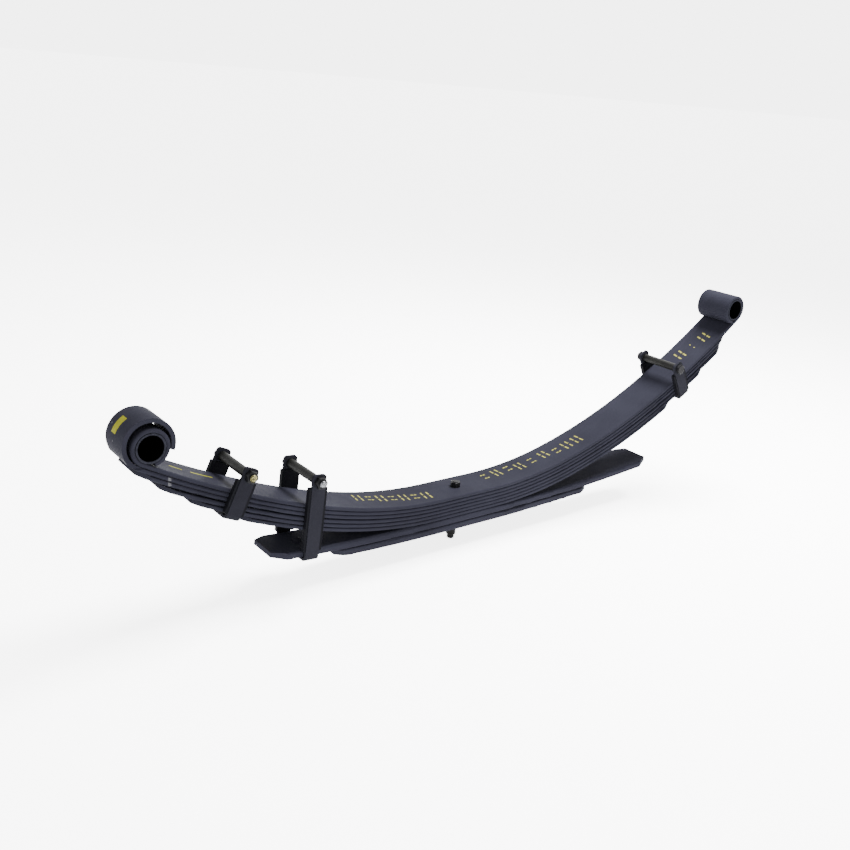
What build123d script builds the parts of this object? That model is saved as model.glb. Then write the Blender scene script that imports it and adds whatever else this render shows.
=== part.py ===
from build123d import *
from math import cos, degrees, radians, sin
import os

os.makedirs("parts", exist_ok=True)

# A multi-leaf suspension spring. X runs along the spring with the front eye at -X,
# Y is across the leaves and Z is up. The origin is on the centre bolt's axis at the
# underside of the lowest leaf, where the spring sits on its axle pad.

# Leaf pack
LEAF_WIDTH = 70.0
LEAF_THICKNESS = 6.0
OVERLOAD_THICKNESS = 12.0
SEAT_LEAF_THICKNESS = 12.0
LEAF_NODES = ["main_leaf", "wrapper_leaf", "third_leaf", "fourth_leaf", "fifth_leaf", "sixth_leaf"]
PACK_DEPTH = len(LEAF_NODES) * LEAF_THICKNESS
PACK_HEIGHT = PACK_DEPTH + OVERLOAD_THICKNESS + SEAT_LEAF_THICKNESS
EDGE_RADIUS = 2.4
OVERLOAD_EDGE_RADIUS = 3.5

# The leaves are flat over the seat, and each lower leaf is flat a little further out,
# so that the gaps between them open towards the tips.
SEAT_HALF_LENGTH = 50.0
SEAT_STEPS = [0.0, 1.0, 2.0, 7.0, 9.0, 11.0]

# Bend of the main leaf's upper face on each side of the seat: radius, turn in degrees.
FRONT, REAR = -1, 1
BENDS = {
    FRONT: [(704.0, 12.2), (1031.0, 8.3), (1667.0, 20.0)],
    REAR: [(667.0, 14.6), (1031.0, 11.1), (1351.0, 20.0)],
}

# The overload and seat leaves share one shallow bend.
OVERLOAD_BEND_RADIUS = 3800.0
SHALLOW_HALF_LENGTH = SEAT_HALF_LENGTH + SEAT_STEPS[-1]

# Reach of each leaf, measured along the main leaf from the centre bolt
FRONT_EYE_REACH = 574.0
REAR_EYE_REACH = 704.0
FRONT_REACHES = [FRONT_EYE_REACH, FRONT_EYE_REACH, 573.0, 528.0, 476.0, 398.0]
REAR_REACHES = [REAR_EYE_REACH, 664.0, 652.0, 640.0, 580.0, 480.0]
OVERLOAD_REACHES = {FRONT: 354.0, REAR: 443.0}
SEAT_LEAF_REACHES = {FRONT: 250.0, REAR: 280.0}

# Trimmed tip corners: length along the leaf, inset from the edge
TIP_TRIM = (20.0, 8.0)
OVERLOAD_TRIM = (24.0, 11.0)
SEAT_LEAF_TRIM = (14.0, 5.0)

# Undersides thinned towards the tips: length along the leaf, thickness lost at the tip
OVERLOAD_TAPERS = {FRONT: (36.0, 4.5), REAR: (36.0, 4.5)}
SEAT_LEAF_TAPERS = {FRONT: (36.0, 5.0), REAR: (18.0, 4.0)}

# Eyes of the main leaf and the loose safety wrap of the second leaf
EYE_RADIUS = 20.3
EYE_TURN = 318.0
WRAP_RADIUS = 29.6
WRAP_TURN = 261.0
WRAP_SHIFT = 2.4
WRAP_SETBACKS = {-1: 2.0, 1: 14.5}
WRAP_NECK_START = 6.0
WRAP_NECK_ANGLE = 66.0
SLEEVE_RADIUS = 17.5
SLEEVE_CHAMFER = 0.6

# Centre bolt, with a long locating head below the seat and its nut on top
CENTRE_BOLT_RADIUS = 4.76
CENTRE_HOLE_RADIUS = 5.0
CENTRE_NUT_FLATS = 14.3
CENTRE_NUT_HEIGHT = 8.3
CENTRE_THREAD_END = 0.8
LOCATOR_RADIUS = 8.0
LOCATOR_LENGTH = 26.0
LOCATOR_NECK_RADIUS = 7.7
PILOT_RADIUS = 6.0
PILOT_LENGTH = 7.0

# Shallow spot faces on the pack's two outer faces, where the bolt's head and nut seat
SPOT_DEPTH = 0.3
HEAD_SPOT_RADIUS = 8.3
NUT_SPOT_RADIUS = 8.6

# Rebound clips: side, reach along the main leaf, lowest leaf held, bolt height above
# the main leaf, side of the bolt's head. The middle clip stands on the overload leaf.
END_CLIPS = {
    "front_clip": (FRONT, 424.5, 4, 25.5, 1),
    "rear_clip": (REAR, 519.0, 4, 25.0, -1),
}
MIDDLE_CLIP_REACH = 296.0
MIDDLE_CLIP_HEIGHT = 108.0
STRAP_WIDTH = 22.0
STRAP_THICKNESS = 4.0
STRAP_BEND_RADIUS = 8.0
STRAP_CROWN = 11.0
STRAP_CORNER_RADIUS = 5.0
LINER_WIDTH = 30.0
LINER_THICKNESS = 3.5
LINER_FLANGE = 3.2
LINER_SIDE_GAP = 0.4
LINER_GAP_BELOW_BOLT = 9.0
LINER_FOOT_GAP = STRAP_BEND_RADIUS - STRAP_THICKNESS
BASE_PAD_THICKNESS = 3.5
CLIP_BOLT_RADIUS = 5.0
CLIP_BOLT_CLEARANCE = 0.25
CLIP_NUT_FLATS = 16.0
CLIP_HEAD_HEIGHT = 6.4
CLIP_NUT_HEIGHT = 8.0
CLIP_THREAD_END = 3.5
TUBE_RADIUS = 7.0
TUBE_RUNNING_CLEARANCE = 0.08
TUBE_END_GAP = 0.4
RIVET_RADIUS = 4.0
RIVET_HEAD_RADIUS = 7.5
RIVET_HEAD_HEIGHT = 4.0


def save(node, shape):
    shape.label = node
    export_step(shape, f"parts/{node}.step")


def heading_at(side, reach):
    """Slope in degrees of the main leaf's upper face at a distance along it."""
    remaining = reach - SEAT_HALF_LENGTH
    heading = 0.0
    for radius, turn in BENDS[side]:
        length = radius * radians(turn)
        if remaining <= length:
            return heading + degrees(remaining / radius)
        heading += turn
        remaining -= length
    return heading


def surface_edges(side, depth, seat_half, end_heading):
    """Arcs of a leaf face at a depth below the main leaf's upper face, seat end first."""
    edges = []
    point = Vector(side * seat_half, PACK_HEIGHT - depth)
    heading = 0.0
    for radius, turn in BENDS[side]:
        step = min(turn, end_heading - heading)
        if step <= 0.0:
            break
        tangent = (side * cos(radians(heading)), sin(radians(heading)))
        arc = JernArc(point, tangent, radius + depth, side * step)
        edges.append(arc)
        point = arc @ 1
        heading += step
    return edges, point


def shallow_edges(side, depth, reach):
    """Arc of a face of the overload or seat leaf, from the seat to the tip."""
    start = (side * SHALLOW_HALF_LENGTH, PACK_HEIGHT - depth)
    turn = shallow_heading(reach)
    arc = JernArc(start, (side, 0), OVERLOAD_BEND_RADIUS + depth, side * turn)
    return [arc], arc @ 1


def shallow_heading(reach):
    """Slope in degrees of the overload and seat leaves at a distance along them."""
    return degrees((reach - SHALLOW_HALF_LENGTH) / OVERLOAD_BEND_RADIUS)


def curl_edges(side, top_point, bottom_point, heading, inner_radius, turn):
    """Inner and outer arcs of an upturned eye that continues a leaf's two faces."""
    tangent = (side * cos(radians(heading)), sin(radians(heading)))
    inner = JernArc(top_point, tangent, inner_radius, side * turn)
    outer = JernArc(bottom_point, tangent, inner_radius + LEAF_THICKNESS, side * turn)
    cap = Line(inner @ 1, outer @ 1)
    return [inner, cap, outer]


def leaf_from_outline(edges, edge_radius):
    """Extrude a side outline across the leaf's width and round its long edges."""
    flat = make_face(Wire(edges)) if isinstance(edges, list) else make_face(edges)
    solid = extrude(flat, LEAF_WIDTH / 2, both=True)
    solid = Plane.XZ.location * solid
    ends = LEAF_WIDTH / 2 - 0.01
    long_edges = [e for e in solid.edges() if abs((e @ 0.5).Y) > ends and e.length > 13.0]
    return fillet(long_edges, edge_radius)


def frame_on(side, point, heading):
    """Plane on a leaf whose X runs rearwards along it and whose Z is its upward normal."""
    slope = radians(side * heading)
    x_dir = (cos(slope), 0, sin(slope))
    z_dir = (-sin(slope), 0, cos(slope))
    return Plane(origin=(point.X, 0, point.Y), x_dir=x_dir, z_dir=z_dir)


def trim_tip(solid, side, point, heading, trim):
    """Cut both corners off a leaf tip in plan."""
    length, inset = trim
    half = LEAF_WIDTH / 2
    for hand in (1, -1):
        corner = Polyline(
            (-side * length, hand * half),
            (-side * length, hand * (half + 2)),
            (side * 2, hand * (half + 2)),
            (side * 2, hand * (half - inset)),
            (0, hand * (half - inset)),
            close=True,
        )
        cutter = extrude(make_face(corner), 30, both=True)
        solid = solid - frame_on(side, point, heading).location * cutter
    return solid


def narrow_wrap(solid, side, foot, heading):
    """Set the safety wrap's sides back beyond a sloping neck, most on the +Y side."""
    half = LEAF_WIDTH / 2
    lean = radians(WRAP_NECK_ANGLE)
    neck = Plane(
        origin=(side * WRAP_NECK_START, 0, -LEAF_THICKNESS),
        x_dir=(side * cos(lean), 0, sin(lean)),
        z_dir=(-sin(lean), 0, side * cos(lean)),
    )
    for hand, setback in WRAP_SETBACKS.items():
        outline = Polyline(
            (0, hand * half),
            (setback, hand * (half - setback)),
            (150, hand * (half - setback)),
            (150, hand * (half + 5)),
            (0, hand * (half + 5)),
            close=True,
        )
        cutter = neck.location * extrude(make_face(outline), 80, both=True)
        solid = solid - frame_on(side, foot, heading).location * cutter
    return solid


def thin_tip(solid, side, point, heading, thickness, taper):
    """Slope the underside of a thick leaf up towards its tip."""
    length, loss = taper
    rise = loss / length
    wedge = Polyline(
        (-side * length, -thickness),
        (side * 2, -thickness + loss + 2 * rise),
        (side * 2, -thickness - 2),
        (-side * length, -thickness - 2),
        close=True,
    )
    cutter = Plane.XZ.location * extrude(make_face(wedge), LEAF_WIDTH, both=True)
    return solid - frame_on(side, point, heading).location * cutter


def curved_leaf(index):
    """One of the six main-stage leaves, without its bolt hole."""
    depth = index * LEAF_THICKNESS
    seat_half = SEAT_HALF_LENGTH + SEAT_STEPS[index]
    outline = []
    tips = []
    for side, reaches in ((FRONT, FRONT_REACHES), (REAR, REAR_REACHES)):
        heading = heading_at(side, reaches[index])
        shift = WRAP_SHIFT if index == 1 and side == FRONT else 0.0
        top, top_end = surface_edges(side, depth, seat_half, heading)
        bottom, bottom_end = surface_edges(side, depth + LEAF_THICKNESS, seat_half, heading)
        outline += top + bottom
        has_eye = index == 0
        has_wrap = index == 1 and side == FRONT
        if has_wrap:
            slope = radians(heading)
            step = Vector(side * cos(slope), sin(slope)) * shift
            outline += [Line(top_end, top_end + step), Line(bottom_end, bottom_end + step)]
            top_end, bottom_end = top_end + step, bottom_end + step
            outline += curl_edges(side, top_end, bottom_end, heading, WRAP_RADIUS, WRAP_TURN)
        elif has_eye:
            outline += curl_edges(side, top_end, bottom_end, heading, EYE_RADIUS, EYE_TURN)
        else:
            outline.append(Line(top_end, bottom_end))
            tips.append((side, top_end, heading))
    for level in (depth, depth + LEAF_THICKNESS):
        height = PACK_HEIGHT - level
        outline.append(Line((-seat_half, height), (seat_half, height)))
    solid = leaf_from_outline(outline, EDGE_RADIUS)
    for side, point, heading in tips:
        solid = trim_tip(solid, side, point, heading, TIP_TRIM)
    if index == 1:
        heading = heading_at(FRONT, FRONT_EYE_REACH)
        edges, foot = surface_edges(FRONT, depth, seat_half, heading)
        solid = narrow_wrap(solid, FRONT, foot, heading)
    return solid


def shallow_leaf(depth, thickness, reaches, trim, tapers):
    """The overload leaf or the short seat leaf below it."""
    outline = []
    tips = []
    for side in (FRONT, REAR):
        top, top_end = shallow_edges(side, depth, reaches[side])
        bottom, bottom_end = shallow_edges(side, depth + thickness, reaches[side])
        outline += top + bottom + [Line(top_end, bottom_end)]
        tips.append((side, top_end, shallow_heading(reaches[side])))
    for level in (depth, depth + thickness):
        height = PACK_HEIGHT - level
        outline.append(Line((-SHALLOW_HALF_LENGTH, height), (SHALLOW_HALF_LENGTH, height)))
    solid = leaf_from_outline(outline, OVERLOAD_EDGE_RADIUS)
    for side, point, heading in tips:
        solid = trim_tip(solid, side, point, heading, trim)
        solid = thin_tip(solid, side, point, heading, thickness, tapers[side])
    return solid


def rod(radius, low, high):
    """Upright cylinder on the Z axis between two heights."""
    return Pos(0, 0, low) * extrude(Circle(radius), high - low)


def hexagon(flats, low, high, chamfer_size):
    """Upright hexagonal prism with its top corners turned down."""
    prism = Pos(0, 0, low) * extrude(RegularPolygon(flats / 2, 6, major_radius=False), high - low)
    corner = flats / 2 / cos(radians(30))
    blank = rod(corner, low, high)
    top_edge = blank.edges().filter_by(GeomType.CIRCLE).sort_by(Axis.Z)[-1]
    blank = chamfer(top_edge, chamfer_size, chamfer_size * 2)
    return prism & blank


def dome(radius, height, base):
    """Spherical cap standing on a height."""
    sphere_radius = (radius**2 + height**2) / (2 * height)
    ball = Pos(0, 0, base + height - sphere_radius) * Sphere(sphere_radius)
    cap_box = Box(3 * radius, 3 * radius, height, align=(Align.CENTER, Align.CENTER, Align.MIN))
    return ball & Pos(0, 0, base) * cap_box


def strap(bolt_height, floor_depth):
    """U-shaped clip strap that hangs round the leaves, in the clip's own frame."""
    inner_half = LEAF_WIDTH / 2 + LINER_THICKNESS
    outer_half = inner_half + STRAP_THICKNESS
    height = bolt_height + STRAP_CROWN + floor_depth + STRAP_THICKNESS
    outer = Rectangle(2 * outer_half, height, align=(Align.CENTER, Align.MIN))
    outer = fillet(outer.vertices().sort_by(Axis.Y)[:2], STRAP_BEND_RADIUS)
    inner = Pos(0, STRAP_THICKNESS) * Rectangle(2 * inner_half, height, align=(Align.CENTER, Align.MIN))
    inner = fillet(inner.vertices().sort_by(Axis.Y)[:2], STRAP_BEND_RADIUS - STRAP_THICKNESS)
    bent = extrude(outer - inner, STRAP_WIDTH / 2, both=True)
    bent = Pos(0, 0, -floor_depth - STRAP_THICKNESS) * Plane.YZ.location * bent
    side_view = Rectangle(STRAP_WIDTH, height + STRAP_THICKNESS, align=(Align.CENTER, Align.MAX))
    side_view = fillet(side_view.vertices().sort_by(Axis.Y)[-2:], STRAP_CORNER_RADIUS)
    side_view = Pos(0, bolt_height + STRAP_CROWN) * side_view
    bent = bent & Plane.XZ.location * extrude(side_view, outer_half + 1, both=True)
    hole = cross_rod(CLIP_BOLT_RADIUS + CLIP_BOLT_CLEARANCE, -outer_half - 1, outer_half + 1)
    return bent - Pos(0, 0, bolt_height) * hole


def cross_rod(radius, start, end):
    """Cylinder along Y between two places."""
    return Plane.XZ.location * Pos(0, 0, -end) * extrude(Circle(radius), end - start)


def liner(hand, bottom, top):
    """Plastic channel between the leaf edges and a strap leg, with a flange on each side."""
    edge = LINER_WIDTH / 2
    groove = STRAP_WIDTH / 2 + LINER_SIDE_GAP
    proud = LINER_THICKNESS + LINER_FLANGE
    profile = Polyline(
        (-edge, 0),
        (edge, 0),
        (edge, proud),
        (groove, proud),
        (groove, LINER_THICKNESS),
        (-groove, LINER_THICKNESS),
        (-groove, proud),
        (-edge, proud),
        close=True,
    )
    channel = extrude(make_face(profile), top - bottom)
    corners = [e for e in channel.edges().filter_by(Axis.Y) if abs((e @ 0.5).X) > edge - 0.01]
    channel = Pos(0, LEAF_WIDTH / 2, bottom) * fillet(corners, 1.5)
    return Rot(0, 0, 0 if hand > 0 else 180) * channel


def clip_bolt(bolt_height):
    """Hexagon bolt through the strap's legs, with its head at +Y."""
    outer_half = LEAF_WIDTH / 2 + LINER_THICKNESS + STRAP_THICKNESS
    tip = outer_half + CLIP_NUT_HEIGHT + CLIP_THREAD_END
    head = hexagon(CLIP_NUT_FLATS, outer_half, outer_half + CLIP_HEAD_HEIGHT, 0.8)
    shank = rod(CLIP_BOLT_RADIUS, -tip, outer_half)
    shank = chamfer(shank.edges().filter_by(GeomType.CIRCLE).sort_by(Axis.Z)[0], 1.0)
    return Pos(0, 0, bolt_height) * Rot(-90, 0, 0) * (head + shank)


def clip_nut(bolt_height):
    """Hexagon nut on the end of the clip bolt, at -Y."""
    outer_half = LEAF_WIDTH / 2 + LINER_THICKNESS + STRAP_THICKNESS
    nut = hexagon(CLIP_NUT_FLATS, outer_half, outer_half + CLIP_NUT_HEIGHT, 0.8)
    nut -= rod(CLIP_BOLT_RADIUS, outer_half - 1, outer_half + CLIP_NUT_HEIGHT + 1)
    return Pos(0, 0, bolt_height) * Rot(90, 0, 0) * nut


def spacer_tube(bolt_height):
    """Tube that turns on the clip bolt and keeps the strap's legs apart."""
    end = LEAF_WIDTH / 2 + LINER_THICKNESS - TUBE_END_GAP
    bore = CLIP_BOLT_RADIUS + TUBE_RUNNING_CLEARANCE
    tube = cross_rod(TUBE_RADIUS, -end, end) - cross_rod(bore, -end - 1, end + 1)
    return Pos(0, 0, bolt_height) * tube


def base_pad(floor_depth):
    """Plastic pad between the lowest leaf held and the strap's floor."""
    pad = Box(STRAP_WIDTH, LEAF_WIDTH - 2 * LINER_FOOT_GAP, BASE_PAD_THICKNESS)
    return Pos(0, 0, BASE_PAD_THICKNESS / 2 - floor_depth) * pad


def rivet(leaf_top, floor_depth, domed_top):
    """Rivet through a leaf and the strap below it, domed or flush on top of the leaf."""
    strap_bottom = -floor_depth - STRAP_THICKNESS
    body = rod(RIVET_RADIUS, strap_bottom, leaf_top)
    body += Pos(0, 0, strap_bottom) * Rot(180, 0, 0) * dome(RIVET_HEAD_RADIUS, RIVET_HEAD_HEIGHT, 0)
    if domed_top:
        return body + dome(RIVET_HEAD_RADIUS, RIVET_HEAD_HEIGHT, leaf_top)
    return body


def add_clip(name, plane, bolt_height, floor_depth, liner_bottom, leaf_node, head_side):
    """Build one clip in its own frame, place it, and drill the leaf for its rivet."""
    on_overload = leaf_node == "overload_leaf"
    leaf_top = 0.0 if on_overload else LEAF_THICKNESS + BASE_PAD_THICKNESS - floor_depth
    pin = rivet(leaf_top, floor_depth, on_overload)
    liner_top = bolt_height - LINER_GAP_BELOW_BOLT
    turn = Rot(0, 0, 0 if head_side > 0 else 180)
    pieces = {
        "strap": strap(bolt_height, floor_depth) - pin,
        "near_liner": liner(-1, liner_bottom, liner_top),
        "far_liner": liner(1, liner_bottom, liner_top),
        "bolt": turn * clip_bolt(bolt_height),
        "nut": turn * clip_nut(bolt_height),
        "spacer_tube": spacer_tube(bolt_height),
        "rivet": pin,
    }
    if not on_overload:
        pieces["base_pad"] = base_pad(floor_depth) - pin
    for piece, shape in pieces.items():
        nodes[f"{name}_{piece}"] = plane.location * shape
    nodes[leaf_node] -= plane.location * pin


def eye_sleeve(side, reach):
    """Thin bush sleeve pressed into an eye of the main leaf."""
    heading = heading_at(side, reach)
    edges, foot = surface_edges(side, 0.0, SEAT_HALF_LENGTH, heading)
    half = LEAF_WIDTH / 2
    tube = cross_rod(EYE_RADIUS, -half, half) - cross_rod(SLEEVE_RADIUS, -half - 1, half + 1)
    rims = [e for e in tube.edges().filter_by(GeomType.CIRCLE) if e.radius < EYE_RADIUS - 0.1]
    tube = chamfer(rims, SLEEVE_CHAMFER)
    return frame_on(side, foot, heading).location * Pos(0, 0, EYE_RADIUS) * tube


nodes = {}
for index, node in enumerate(LEAF_NODES):
    nodes[node] = curved_leaf(index)
nodes["overload_leaf"] = shallow_leaf(
    PACK_DEPTH, OVERLOAD_THICKNESS, OVERLOAD_REACHES, OVERLOAD_TRIM, OVERLOAD_TAPERS
)
nodes["seat_leaf"] = shallow_leaf(
    PACK_DEPTH + OVERLOAD_THICKNESS,
    SEAT_LEAF_THICKNESS,
    SEAT_LEAF_REACHES,
    SEAT_LEAF_TRIM,
    SEAT_LEAF_TAPERS,
)
for node in nodes:
    nodes[node] -= rod(CENTRE_HOLE_RADIUS, -1.0, PACK_HEIGHT + 1.0)

nodes["seat_leaf"] -= rod(HEAD_SPOT_RADIUS, -1.0, SPOT_DEPTH)
nodes["main_leaf"] -= rod(NUT_SPOT_RADIUS, PACK_HEIGHT - SPOT_DEPTH, PACK_HEIGHT + 1.0)

for name, (side, reach, lowest, bolt_height, head_side) in END_CLIPS.items():
    heading = heading_at(side, reach)
    edges, foot = surface_edges(side, 0.0, SEAT_HALF_LENGTH, heading)
    underside = (lowest + 1) * LEAF_THICKNESS + SEAT_STEPS[lowest] * sin(radians(heading))
    floor = underside + BASE_PAD_THICKNESS
    plane = frame_on(side, foot, heading)
    add_clip(name, plane, bolt_height, floor, LINER_FOOT_GAP - floor, LEAF_NODES[lowest], head_side)

edges, foot = shallow_edges(FRONT, PACK_DEPTH, MIDDLE_CLIP_REACH)
heading = shallow_heading(MIDDLE_CLIP_REACH)
add_clip(
    "middle_clip",
    frame_on(FRONT, foot, heading),
    MIDDLE_CLIP_HEIGHT,
    OVERLOAD_THICKNESS,
    0.0,
    "overload_leaf",
    1,
)

nodes["front_eye_sleeve"] = eye_sleeve(FRONT, FRONT_EYE_REACH)
nodes["rear_eye_sleeve"] = eye_sleeve(REAR, REAR_EYE_REACH)

nut_top = PACK_HEIGHT + CENTRE_NUT_HEIGHT
pilot = rod(PILOT_RADIUS, -LOCATOR_LENGTH - PILOT_LENGTH, -LOCATOR_LENGTH)
pilot = chamfer(pilot.edges().filter_by(GeomType.CIRCLE).sort_by(Axis.Z)[0], 1.0)
locator = rod(LOCATOR_RADIUS, -LOCATOR_LENGTH, 0.0)
locator = chamfer(locator.edges().filter_by(GeomType.CIRCLE).sort_by(Axis.Z)[0], 1.2)
neck = rod(LOCATOR_NECK_RADIUS, -1.0, SPOT_DEPTH)
shank = rod(CENTRE_BOLT_RADIUS, 0.0, nut_top + CENTRE_THREAD_END)
nodes["centre_bolt"] = pilot + locator + neck + shank
centre_nut = hexagon(CENTRE_NUT_FLATS, PACK_HEIGHT - SPOT_DEPTH, nut_top, 0.7)
nodes["centre_bolt_nut"] = centre_nut - rod(CENTRE_BOLT_RADIUS, PACK_HEIGHT - 1.0, nut_top + 1.0)

for node, shape in nodes.items():
    save(node, shape)
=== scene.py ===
import math
import random

import bmesh
import bpy
from mathutils import Matrix, Vector


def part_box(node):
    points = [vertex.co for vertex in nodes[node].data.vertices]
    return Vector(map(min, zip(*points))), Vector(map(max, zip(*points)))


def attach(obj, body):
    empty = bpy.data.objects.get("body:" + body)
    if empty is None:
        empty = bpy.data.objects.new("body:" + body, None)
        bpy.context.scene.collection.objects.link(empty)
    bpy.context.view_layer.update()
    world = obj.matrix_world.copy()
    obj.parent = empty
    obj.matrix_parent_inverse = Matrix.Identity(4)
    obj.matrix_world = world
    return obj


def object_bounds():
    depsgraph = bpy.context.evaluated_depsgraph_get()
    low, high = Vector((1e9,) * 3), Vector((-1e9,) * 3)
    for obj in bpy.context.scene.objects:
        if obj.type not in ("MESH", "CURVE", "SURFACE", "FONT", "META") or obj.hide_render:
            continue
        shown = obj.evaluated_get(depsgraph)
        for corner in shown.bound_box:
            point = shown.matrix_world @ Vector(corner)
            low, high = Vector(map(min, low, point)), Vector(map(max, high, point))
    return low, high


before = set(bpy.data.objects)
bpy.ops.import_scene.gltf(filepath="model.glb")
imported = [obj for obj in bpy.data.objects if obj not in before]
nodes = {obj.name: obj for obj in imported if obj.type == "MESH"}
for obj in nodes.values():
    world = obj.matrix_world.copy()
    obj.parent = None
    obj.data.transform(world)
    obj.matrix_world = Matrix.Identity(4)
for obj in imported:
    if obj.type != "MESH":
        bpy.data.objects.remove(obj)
cad_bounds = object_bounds()
ROOT = "leaf_pack"
rng = random.Random(7)

# Places and sizes are in metres, in the row frame.
# The safety wrap's axis and outer radius, round the front eye
WRAP_AXIS = Vector((-0.53849, 0.0, 0.23247))
WRAP_OUTER = 0.0356
# Distances from the middle, along Y, past which a sleeve's rims are brighter as painted highlights and a
# bolt's cut end is bright zinc
SLEEVE_RIM = 0.0341
BOLT_THREAD_RIM = 0.0520
# How far a coat of paint stands off the steel, and how uneven its edges are
PAINT_LIFT = 0.00012
EDGE_FRAY = 0.0004
CLIPS = ("front_clip", "middle_clip", "rear_clip")
LEAVES = (
    "main_leaf",
    "wrapper_leaf",
    "third_leaf",
    "fourth_leaf",
    "fifth_leaf",
    "sixth_leaf",
    "overload_leaf",
    "seat_leaf",
)


# ---------------------------------------------------------------- materials
# Sockets of a Mix node that blends colours
MIX_FACTOR, MIX_FIRST, MIX_SECOND, MIX_RESULT = 0, 6, 7, 2
# A mask's blend ends at this many times the place where it starts
MASK_BLEND = 1.006


def set_range(node, *limits):
    """Give a Map Range node its limits: from low, from high, to low, to high."""
    for key, number in zip(("From Min", "From Max", "To Min", "To Max"), limits):
        node.inputs[key].default_value = number


def shade(colour, factor):
    """The same colour, lighter or darker by a factor."""
    return tuple(channel * factor for channel in colour)


class Nodes:
    """Shorthand for building one procedural material."""

    def __init__(self, name):
        self.material = bpy.data.materials.new(name)
        self.material.use_nodes = True
        self.tree = self.material.node_tree
        self.shader = self.tree.nodes["Principled BSDF"]
        self.coords = self.add("ShaderNodeTexCoord").outputs["Object"]

    def add(self, kind, **values):
        node = self.tree.nodes.new(kind)
        for key, value in values.items():
            setattr(node, key, value)
        return node

    def join(self, source, target):
        self.tree.links.new(source, target)

    def stretched(self, scale):
        """Object coordinates with their own scale along X, Y and Z."""
        mapping = self.add("ShaderNodeMapping")
        mapping.inputs["Scale"].default_value = scale
        self.join(self.coords, mapping.inputs["Vector"])
        return mapping.outputs["Vector"]

    def noise(self, scale, detail=3.0, vector=None, rough=0.55):
        node = self.add("ShaderNodeTexNoise")
        node.inputs["Scale"].default_value = scale
        node.inputs["Detail"].default_value = detail
        node.inputs["Roughness"].default_value = rough
        self.join(vector or self.coords, node.inputs["Vector"])
        return node.outputs["Fac"]

    def remap(self, value, low, high, out_low, out_high):
        node = self.add("ShaderNodeMapRange")
        set_range(node, low, high, out_low, out_high)
        self.join(value, node.inputs["Value"])
        return node.outputs["Result"]

    def mix(self, factor, first, second):
        """Blend of two colours, each a tuple or an output, by a linked factor."""
        node = self.add("ShaderNodeMix", data_type="RGBA")
        for slot, value in ((MIX_FIRST, first), (MIX_SECOND, second)):
            if isinstance(value, tuple):
                node.inputs[slot].default_value = (*value, 1.0)
            else:
                self.join(value, node.inputs[slot])
        self.join(factor, node.inputs[MIX_FACTOR])
        return node.outputs[MIX_RESULT]

    def bump(self, height, strength, distance, base=None):
        node = self.add("ShaderNodeBump")
        node.inputs["Strength"].default_value = strength
        node.inputs["Distance"].default_value = distance
        self.join(height, node.inputs["Height"])
        if base is not None:
            self.join(base, node.inputs["Normal"])
        return node.outputs["Normal"]

    def set(self, **values):
        """Link or set sockets of the shader, then give back the material."""
        for key, value in values.items():
            socket = self.shader.inputs[key.replace("_", " ")]
            if hasattr(value, "is_linked"):
                self.join(value, socket)
            elif isinstance(value, tuple):
                socket.default_value = (*value, 1.0)
            else:
                socket.default_value = value
        return self.material


def leaf_paint(name, base, cool, dust):
    """Satin stove paint over rolled spring steel, with faint rolling streaks and dust."""
    n = Nodes(name)
    broad = n.remap(n.noise(9.0, 4.0), 0.35, 0.68, 0.0, 1.0)
    streaks = n.remap(n.noise(1.0, 5.0, n.stretched((5.0, 260.0, 60.0))), 0.38, 0.72, 0.0, 1.0)
    specks = n.remap(n.noise(950.0, 2.0), 0.66, 0.74, 0.0, 0.5)
    colour = n.mix(broad, base, cool)
    colour = n.mix(n.remap(streaks, 0.0, 1.0, 0.0, 0.35), colour, shade(base, 1.4))
    colour = n.mix(specks, colour, dust)
    rough = n.remap(n.noise(26.0, 5.0), 0.3, 0.7, 0.50, 0.62)
    peel = n.bump(n.noise(620.0, 2.0), 0.16, 0.0006)
    scale = n.bump(n.noise(1.0, 5.0, n.stretched((30.0, 500.0, 90.0))), 0.12, 0.0008, peel)
    n.set(Specular_IOR_Level=0.004, Specular_Tint=(0.74, 0.76, 1.0))
    return n.set(Base_Color=colour, Roughness=rough, Normal=scale)


def moulded_plastic(name, base):
    """Matte black moulded plastic with a fine grain."""
    n = Nodes(name)
    grain = n.noise(1500.0, 2.0)
    scuffs = n.remap(n.noise(1.0, 5.0, n.stretched((260.0, 40.0, 40.0))), 0.6, 0.75, 0.0, 0.5)
    colour = n.mix(scuffs, base, shade(base, 2.2))
    rough = n.remap(n.noise(60.0, 3.0), 0.3, 0.7, 0.55, 0.72)
    normal = n.bump(grain, 0.25, 0.0003)
    return n.set(Specular_IOR_Level=0.01, Base_Color=colour, Roughness=rough, Normal=normal)


def beyond(n, start):
    """Mask that is 1 beyond a signed place along Y, and 0 between it and the middle."""
    split = n.add("ShaderNodeSeparateXYZ")
    n.join(n.coords, split.inputs["Vector"])
    return n.remap(split.outputs["Y"], start, start * MASK_BLEND, 0.0, 1.0)


def turned_steel(name, base, worn, roughness, ring_scale):
    """Oxidised steel with fine turning rings round the Y axis and worn, lighter patches."""
    n = Nodes(name)
    rings = n.noise(1.0, 3.0, n.stretched((12.0, ring_scale, 12.0)))
    patches = n.remap(n.noise(90.0, 5.0), 0.45, 0.7, 0.0, 1.0)
    colour = n.mix(patches, base, worn)
    colour = n.mix(n.remap(rings, 0.4, 0.7, 0.0, 0.6), colour, shade(base, 0.7))
    rough = n.remap(n.noise(160.0, 3.0), 0.3, 0.7, *roughness)
    normal = n.bump(rings, 0.3, 0.0004)
    return n.set(Specular_IOR_Level=0.05, Base_Color=colour, Roughness=rough, Normal=normal)


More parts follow.
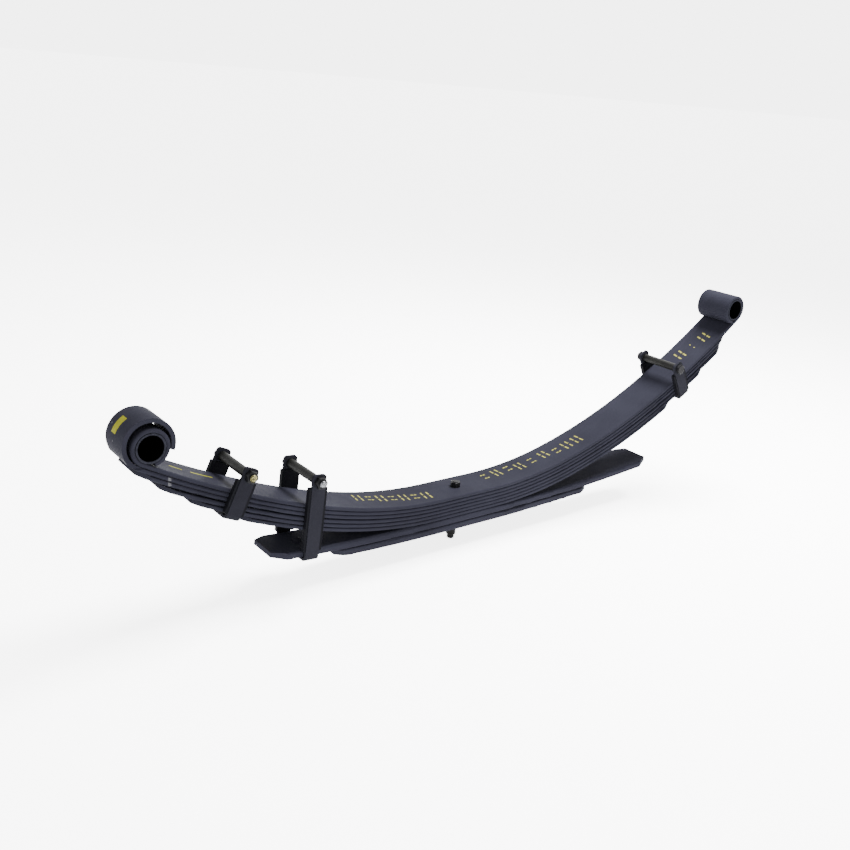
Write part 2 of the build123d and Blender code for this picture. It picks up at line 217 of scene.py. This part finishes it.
def sleeve_metal(name, bore_shade, rim_highlight):
    """Sleeve whose bore is painted near black as shade, and whose rims at both ends are lighter as
    painted highlights.
    """
    n = Nodes(name)
    near = beyond(n, -SLEEVE_RIM)
    far = beyond(n, SLEEVE_RIM)
    ends = n.mix(near, n.mix(far, (0.0, 0.0, 0.0), (1.0, 1.0, 1.0)), (1.0, 1.0, 1.0))
    wear = n.remap(n.noise(300.0, 4.0), 0.35, 0.7, 0.0, 1.0)
    # Near-black painted shade in the bore, and lighter painted highlights on the rims, broken by random
    # darker wear
    colour = n.mix(ends, bore_shade, n.mix(wear, rim_highlight, shade(rim_highlight, 0.5)))
    rough = n.remap(n.noise(160.0, 3.0), 0.3, 0.7, 0.35, 0.5)
    normal = n.bump(n.noise(1.0, 3.0, n.stretched((12.0, 500.0, 12.0))), 0.3, 0.0004)
    return n.set(Specular_IOR_Level=0.0, Base_Color=colour, Roughness=rough, Normal=normal)


def clip_bolt_metal(name, zinc, dark, end):
    """Dark bolt whose cut thread end, beyond a signed place along Y, is bright zinc."""
    n = Nodes(name)
    bright = beyond(n, end)
    tarnish = n.remap(n.noise(520.0, 4.0), 0.42, 0.56, 0.0, 1.0)
    plated = n.mix(tarnish, zinc, shade(zinc, 0.12))
    colour = n.mix(bright, dark, plated)
    metallic = n.remap(bright, 0.0, 1.0, 0.0, 0.8)
    rough = n.remap(n.noise(300.0, 3.0), 0.3, 0.7, 0.32, 0.5)
    normal = n.bump(n.noise(900.0, 3.0), 0.15, 0.0003)
    n.set(Specular_IOR_Level=0.03)
    return n.set(Base_Color=colour, Roughness=rough, Metallic=metallic, Normal=normal)


def marking_paint(name, base, thin):
    """Hand-sprayed marking paint, patchy where the coat is thin."""
    n = Nodes(name)
    patchy = n.remap(n.noise(420.0, 5.0), 0.42, 0.68, 0.0, 1.0)
    colour = n.mix(patchy, base, thin)
    rough = n.remap(n.noise(200.0, 3.0), 0.3, 0.7, 0.5, 0.7)
    normal = n.bump(n.noise(700.0, 3.0), 0.2, 0.0004)
    return n.set(Specular_IOR_Level=0.03, Base_Color=colour, Roughness=rough, Normal=normal)


# The colours are darker than real paint and steel, because the stage below is so bright.
DUST = (0.020, 0.020, 0.024)
DARK_BOLT = (0.0032, 0.0032, 0.0038)
paint = leaf_paint("leaf_paint", (0.0068, 0.0068, 0.0096), (0.0096, 0.0097, 0.0138), DUST)
strap_paint = leaf_paint("strap_paint", (0.0052, 0.0052, 0.0068), (0.0076, 0.0076, 0.0100), DUST)
liner = moulded_plastic("liner_plastic", (0.0026, 0.0026, 0.0034))
tube = turned_steel(
    "tube_steel",
    base=(0.0024, 0.0024, 0.0023),
    worn=(0.0050, 0.0050, 0.0045),
    roughness=(0.46, 0.6),
    ring_scale=900.0,
)
# The first colour is near-black painted shade for the bore, the second a painted highlight for the rims
sleeve = sleeve_metal("sleeve_steel", (0.0006, 0.0006, 0.0006), (0.0110, 0.0112, 0.0150))
nut = turned_steel(
    "nut_steel",
    base=(0.0020, 0.0020, 0.0024),
    worn=(0.0036, 0.0036, 0.0042),
    roughness=(0.36, 0.5),
    ring_scale=300.0,
)
pin = turned_steel(
    "pin_steel",
    base=(0.0010, 0.0010, 0.0012),
    worn=(0.0022, 0.0022, 0.0026),
    roughness=(0.4, 0.5),
    ring_scale=300.0,
)
bolt_metal = {
    "front_clip": clip_bolt_metal("zinc_yellow", (0.11, 0.10, 0.045), DARK_BOLT, -BOLT_THREAD_RIM),
    "middle_clip": clip_bolt_metal("zinc_silver", (0.13, 0.132, 0.14), DARK_BOLT, -BOLT_THREAD_RIM),
    "rear_clip": clip_bolt_metal("zinc_reversed", (0.20, 0.205, 0.22), DARK_BOLT, BOLT_THREAD_RIM),
}
yellow = marking_paint("marking_yellow", (0.098, 0.096, 0.0006), (0.074, 0.072, 0.0010))
stencil = marking_paint("stencil_yellow", (0.130, 0.122, 0.022), (0.060, 0.056, 0.014))
# Marking colour for the ticks on the leaf edges, also used for the painted glints on the wrap
chalk_and_glint_paint = marking_paint("marking_chalk_and_glint", (0.045, 0.045, 0.049), (0.018, 0.018, 0.021))

# ---------------------------------------------------------------- CAD nodes
finish_of = {name: paint for name in LEAVES}
finish_of["centre_bolt"] = pin
finish_of["centre_bolt_nut"] = nut
finish_of["front_eye_sleeve"] = sleeve
finish_of["rear_eye_sleeve"] = sleeve
for clip in CLIPS:
    finish_of[f"{clip}_strap"] = strap_paint
    finish_of[f"{clip}_rivet"] = strap_paint
    finish_of[f"{clip}_near_liner"] = liner
    finish_of[f"{clip}_far_liner"] = liner
    finish_of[f"{clip}_nut"] = nut
    finish_of[f"{clip}_spacer_tube"] = tube
    finish_of[f"{clip}_bolt"] = bolt_metal[clip]
finish_of["front_clip_base_pad"] = liner
finish_of["rear_clip_base_pad"] = liner

for name, obj in nodes.items():
    obj.data.materials.clear()
    obj.data.materials.append(finish_of[name])


# ---------------------------------------------------------------- making a piece
def piece(name, mesh, material, smooth=True):
    """Turn a bmesh into an object in the scene, with one material."""
    data = bpy.data.meshes.new(name)
    mesh.to_mesh(data)
    mesh.free()
    for face in data.polygons:
        face.use_smooth = smooth
    obj = bpy.data.objects.new(name, data)
    bpy.context.scene.collection.objects.link(obj)
    data.materials.append(material)
    return obj


# ---------------------------------------------------------------- paint marks and painted glints
def settle(mesh, node, point, direction):
    """New vertex just above the place where a ray meets one CAD node, or None if it misses."""
    found, place, normal, face = nodes[node].ray_cast(Vector(point), Vector(direction))
    if not found:
        return None
    return mesh.verts.new(place + normal.normalized() * PAINT_LIFT)


def film(name, node, grids, direction_at, material):
    """A thin coat of paint that lies on a CAD node, from grids of points cast onto it."""
    mesh = bmesh.new()
    for grid in grids:
        placed = [[settle(mesh, node, point, direction_at(point)) for point in row] for row in grid]
        for a, b in zip(placed, placed[1:]):
            for i in range(len(a) - 1):
                corners = (a[i], a[i + 1], b[i + 1], b[i])
                if None not in corners:
                    mesh.faces.new(corners)
    bmesh.ops.recalc_face_normals(mesh, faces=mesh.faces)
    obj = piece(name, mesh, material)
    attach(obj, ROOT)


# Length of one step along a painted bar, and a height from which to cast down
BAR_STEP = 0.0025
ABOVE = 0.5


def bar(start, end, width):
    """Grid of points above the main leaf for a straight painted bar, with uneven edges."""
    a, b = Vector(start), Vector(end)
    along = b - a
    across = Vector((-along.y, along.x)).normalized() * width / 2
    steps = max(2, int(along.length / BAR_STEP))
    rows = []
    for i in range(steps + 1):
        centre = a + along * (i / steps)
        near = 1.0 + rng.uniform(-1, 1) * EDGE_FRAY / width
        far = 1.0 + rng.uniform(-1, 1) * EDGE_FRAY / width
        row = []
        for k in (-far, -far / 3, near / 3, near):
            spot = centre + across * k
            row.append((spot.x, spot.y, ABOVE))
        rows.append(row)
    return rows


def down(point):
    return (0, 0, -1)


# Generic stencil cells that spell nothing, in parts of a cell. A stroke is (x0, y0, x1, y1).
def broken_bar(x):
    return [(x, 0.0, x, 0.42), (x, 0.58, x, 1.0)]


def broken_dash(y):
    return [(0.0, y, 0.45, y), (0.6, y, 1.0, y)]


def dot(y):
    return [(0.45, y, 0.6, y)]


BARS = broken_bar(0.0) + broken_bar(1.0)
DASHES = broken_dash(0.22) + broken_dash(0.78)
DOTS = dot(0.2) + dot(0.75)
CELL_LENGTH = 0.0105
CELL_WIDTH = 0.022
STROKE_WIDTH = 0.0026


def stencil_row(name, start, end, cells):
    """A row of generic stencil cells painted on the main leaf between two places."""
    a, b = Vector(start), Vector(end)
    lean = (b - a).normalized()
    side = Vector((-lean.y, lean.x))
    strokes = []
    for i, cell in enumerate(cells):
        corner = a.lerp(b, i / (len(cells) - 1))
        for x0, y0, x1, y1 in cell:
            p = corner + lean * (x0 * CELL_LENGTH) + side * ((y0 - 0.5) * CELL_WIDTH)
            q = corner + lean * (x1 * CELL_LENGTH) + side * ((y1 - 0.5) * CELL_WIDTH)
            strokes.append(bar(p, q, STROKE_WIDTH))
    film(name, "main_leaf", strokes, down, stencil)


stencil_row("stencil_marks_front", (-0.194, 0.0085), (-0.072, -0.008), [BARS, DASHES] * 3 + [BARS])
stencil_row("stencil_marks_middle_1", (0.066, 0.0075), (0.120, 0.0105), [DASHES, BARS, DASHES])
stencil_row("stencil_marks_middle_2", (0.142, 0.0045), (0.199, 0.0065), [BARS, DASHES, BARS])
stencil_row("stencil_marks_middle_3", (0.223, -0.001), (0.270, -0.0015), [DASHES, BARS, BARS])
stencil_row("stencil_marks_rear", (0.536, 0.006), (0.586, -0.004), [BARS, DOTS, BARS])

CRAYON_WIDTH = 0.0035

first_stripe = bar((-0.4975, 0.0020), (-0.4800, 0.0005), CRAYON_WIDTH)
film("crayon_stripe_1", "main_leaf", [first_stripe], down, yellow)
second_stripe = bar((-0.4680, 0.0000), (-0.4345, 0.0035), CRAYON_WIDTH)
film("crayon_stripe_2", "main_leaf", [second_stripe], down, yellow)

# How far outside the wrap its rays start
WRAP_CLEARANCE = 0.02


def off_wrap(angle, y):
    """Place outside the wrap, at an angle in degrees round its axis."""
    turn = math.radians(angle)
    reach = WRAP_OUTER + WRAP_CLEARANCE
    return (WRAP_AXIS.x + reach * math.cos(turn), y, WRAP_AXIS.z + reach * math.sin(turn))


def towards_axis(point):
    return Vector((WRAP_AXIS.x - point[0], 0, WRAP_AXIS.z - point[2])).normalized()


# The patch starts at an angle in degrees round the wrap. Its two edges lie at places along Y.
PATCH_ANGLE = 121.0
PATCH_SWEEP = 40.0
PATCH_STEPS = 20
PATCH_NEAR, PATCH_NEAR_SLANT = -0.0093, 0.0018
PATCH_FAR, PATCH_FAR_SLANT = 0.0042, 0.0010


def patch_rows():
    """Band of paint round part of the wrap, which drifts sideways as it goes."""
    rows = []
    for i in range(PATCH_STEPS + 1):
        angle = PATCH_ANGLE + PATCH_SWEEP * i / PATCH_STEPS
        near = PATCH_NEAR + rng.uniform(-1, 1) * EDGE_FRAY + PATCH_NEAR_SLANT * i / PATCH_STEPS
        far = PATCH_FAR + rng.uniform(-1, 1) * EDGE_FRAY + PATCH_FAR_SLANT * i / PATCH_STEPS
        rows.append([off_wrap(angle, near + (far - near) * k / 4) for k in range(5)])
    return rows


film("paint_patch", "wrapper_leaf", [patch_rows()], towards_axis, yellow)

# Least value under the root, so that a painted glint's two ends keep some width
GLINT_TIP = 0.04


def painted_glint(name, angle, y, size):
    """Small round pale spot on the wrap: a painted glint."""
    rows = []
    for v in (-1.0, -0.5, 0.0, 0.5, 1.0):
        span = math.sqrt(max(GLINT_TIP, 1 - v * v)) * size
        tilt = math.degrees(v * size / WRAP_OUTER)
        rows.append([off_wrap(angle + tilt, y + span * k / 2) for k in range(-2, 3)])
    film(name, "wrapper_leaf", [rows], towards_axis, chalk_and_glint_paint)


# Two small pale spots on the wrap, which are painted glints
painted_glint("painted_glint_1", angle=145.7, y=0.0125, size=0.0014)
painted_glint("painted_glint_2", angle=176.5, y=-0.0034, size=0.0012)

# The ticks start at a place along X, and are cast from beside the spring.
TICK_START = -0.5150
TICK_WIDTH = 0.0046
TICK_FRAY = 0.0002
TICK_STEPS = 8
BESIDE = -0.06


def inwards(point):
    return (0, 1, 0)


def chalk_tick(leaf, low, high):
    """Upright chalk tick on the near edge of one leaf, between two heights."""
    rows = []
    for i in range(TICK_STEPS + 1):
        z = low + (high - low) * i / TICK_STEPS
        row = []
        for k in range(4):
            row.append((TICK_START + TICK_WIDTH * k / 3 + rng.uniform(-1, 1) * TICK_FRAY, BESIDE, z))
        rows.append(row)
    film(f"chalk_tick_{leaf}", leaf, [rows], inwards, chalk_and_glint_paint)


chalk_tick("wrapper_leaf", low=0.1805, high=0.1875)
chalk_tick("third_leaf", low=0.1735, high=0.1805)

# ---------------------------------------------------------------- threads
THREAD_RADIUS = 0.005
THREAD_LENGTH = 0.0028
THREAD_PITCH = 0.0013
THREAD_DEPTH = THREAD_PITCH * 0.30
THREAD_GAP = 0.0004
STEPS_A_TURN = 28
RUN_OUT_STEPS = 6
# The ridge's half widths at its crest and its foot in pitches, and its foot's height in depths
CREST = 0.08
FOOT = 0.42
FOOT_HEIGHT = -0.3


def thread(name, start, hand, material):
    """Helical ridge on a bolt's free end, from start along Y to the side of hand."""
    axis = Vector((0, hand, 0))
    side = axis.orthogonal().normalized()
    other = axis.cross(side)
    steps = int(THREAD_LENGTH / THREAD_PITCH * STEPS_A_TURN)
    mesh = bmesh.new()
    rows = []
    for i in range(steps + 1):
        turn = 2 * math.pi * i / STEPS_A_TURN
        crest = min(1.0, i / RUN_OUT_STEPS, (steps - i) / RUN_OUT_STEPS)
        along = THREAD_LENGTH * i / steps
        out = side * math.cos(turn) + other * math.sin(turn)
        row = []
        for shift, height in ((-FOOT, FOOT_HEIGHT), (-CREST, crest), (CREST, crest), (FOOT, FOOT_HEIGHT)):
            reach = out * (THREAD_RADIUS + THREAD_DEPTH * height)
            row.append(mesh.verts.new(Vector(start) + axis * (along + shift * THREAD_PITCH) + reach))
        rows.append(row)
    for a, b in zip(rows, rows[1:]):
        for k in range(3):
            mesh.faces.new((a[k], b[k], b[k + 1], a[k + 1]))
    mesh.faces.new(list(reversed(rows[0])))
    mesh.faces.new(rows[-1])
    bmesh.ops.recalc_face_normals(mesh, faces=mesh.faces)
    obj = piece(name, mesh, material)
    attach(obj, ROOT)


for clip in CLIPS:
    tube_low, tube_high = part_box(f"{clip}_spacer_tube")
    middle = (tube_low + tube_high) / 2
    nut_low, nut_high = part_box(f"{clip}_nut")
    hand = -1 if nut_low.y < 0 else 1
    nut_face = min(nut_low.y, -nut_high.y)
    start = (middle.x, -hand * nut_face + hand * THREAD_GAP, middle.z)
    thread(f"{clip}_bolt_thread", start, hand, bolt_metal[clip])

# ---------------------------------------------------------------- stage
FLOOR_RADIUS = 60.0
FLOOR_GAP = 0.0005
FLOOR_GLOW = 3.4
HORIZON_LIGHT = 5.2
ZENITH_LIGHT = 1.6
# Heights on a unit sphere between which the horizon's light fades to the zenith's
FADE_START = 0.30
FADE_END = 0.75
WHITE = (1.0, 1.0, 1.0)


def pale_floor():
    """White lit table: a pale surface that also glows softly, as under a photographer's sweep."""
    n = Nodes("floor")
    tone = n.mix(n.noise(0.6, 2.0), (0.84, 0.84, 0.84), (0.88, 0.88, 0.88))
    n.set(Emission_Color=WHITE, Emission_Strength=FLOOR_GLOW, Specular_IOR_Level=0.0)
    return n.set(Base_Color=tone, Roughness=0.9)


def lay_floor():
    """A wide disc just below the lowest point of the part."""
    mesh = bmesh.new()
    bmesh.ops.create_circle(mesh, cap_ends=True, segments=96, radius=FLOOR_RADIUS)
    floor = piece("floor", mesh, pale_floor(), smooth=False)
    floor.location = (0, 0, cad_bounds[0][2] - FLOOR_GAP)


def bright_room():
    """White surroundings that are brightest at the horizon and fade towards the zenith."""
    world = bpy.data.worlds.new("studio")
    world.use_nodes = True
    sky = world.node_tree
    direction = sky.nodes.new("ShaderNodeTexCoord")
    height = sky.nodes.new("ShaderNodeSeparateXYZ")
    fade = sky.nodes.new("ShaderNodeMapRange")
    set_range(fade, FADE_START, FADE_END, HORIZON_LIGHT, ZENITH_LIGHT)
    background = sky.nodes["Background"]
    sky.links.new(direction.outputs["Generated"], height.inputs["Vector"])
    sky.links.new(height.outputs["Z"], fade.inputs["Value"])
    sky.links.new(fade.outputs["Result"], background.inputs["Strength"])
    background.inputs["Color"].default_value = (*WHITE, 1.0)
    bpy.context.scene.world = world


def soft_light(name, place, target, size, watts):
    """White rectangular area lamp at a place, turned to face a target."""
    lamp = bpy.data.lights.new(name, "AREA")
    lamp.shape = "RECTANGLE"
    lamp.size, lamp.size_y = size
    lamp.energy = watts
    lamp.color = WHITE
    obj = bpy.data.objects.new(name, lamp)
    obj.location = place
    obj.rotation_euler = (Vector(target) - Vector(place)).to_track_quat("-Z", "Y").to_euler()
    bpy.context.scene.collection.objects.link(obj)


lay_floor()
bright_room()
soft_light("overhead", place=(0.9, 0.1, 1.7), target=(0, 0, 0.1), size=(1.0, 0.8), watts=270)

# ---------------------------------------------------------------- camera
CAMERA_PLACE = (-1.00256, -1.14199, 0.69909)
CAMERA_RIGHT = Vector((0.79136, -0.60595, 0.08109))
CAMERA_UP = Vector((0.14289, 0.31229, 0.93918))
CAMERA_FORWARD = Vector((0.59442, 0.73164, -0.33372))
LENS_MM = 42.353
SENSOR_MM = 36.0

camera_data = bpy.data.cameras.new("camera")
camera_data.lens = LENS_MM
camera_data.sensor_width = SENSOR_MM
camera = bpy.data.objects.new("camera", camera_data)
axes = Matrix((CAMERA_RIGHT, CAMERA_UP, -CAMERA_FORWARD)).transposed()
camera.matrix_world = Matrix.Translation(CAMERA_PLACE) @ axes.to_4x4()
bpy.context.scene.collection.objects.link(camera)
bpy.context.scene.camera = camera
